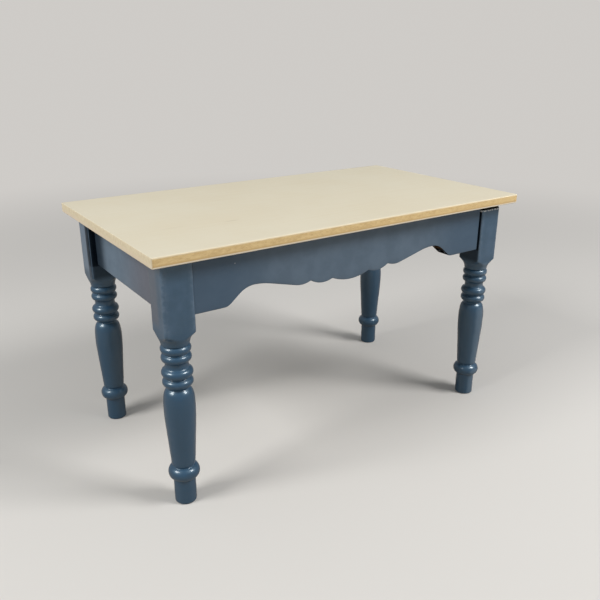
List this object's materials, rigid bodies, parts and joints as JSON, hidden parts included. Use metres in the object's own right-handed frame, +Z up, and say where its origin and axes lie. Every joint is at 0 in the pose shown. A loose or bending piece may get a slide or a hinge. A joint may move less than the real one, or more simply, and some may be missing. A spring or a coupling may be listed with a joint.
{
  "type": "miniature dining table",
  "caption": "Dolls' house dining table with a plain bare-wood top, painted turned legs and shaped aprons along its long sides.",
  "frame": {"origin": "on the floor, under the middle of the tabletop", "axes": "+X along the table's length, +Y from its front to its rear, +Z up"},
  "size_m": [0.11, 0.061, 0.0635],
  "materials": {
    "bare_wood": "bare, sanded, pale cream with faint grain, a warmer tan on the edges",
    "painted_wood": "brushed slate-blue paint with a satin gloss, thick over the edges"
  },
  "bodies": {
    "root": {"tabletop": "bare_wood", "front_left_leg": "painted_wood", "front_right_leg": "painted_wood", "rear_left_leg": "painted_wood", "rear_right_leg": "painted_wood", "front_apron": "painted_wood", "rear_apron": "painted_wood", "left_apron": "painted_wood", "right_apron": "painted_wood"}
  },
  "joints": []
}
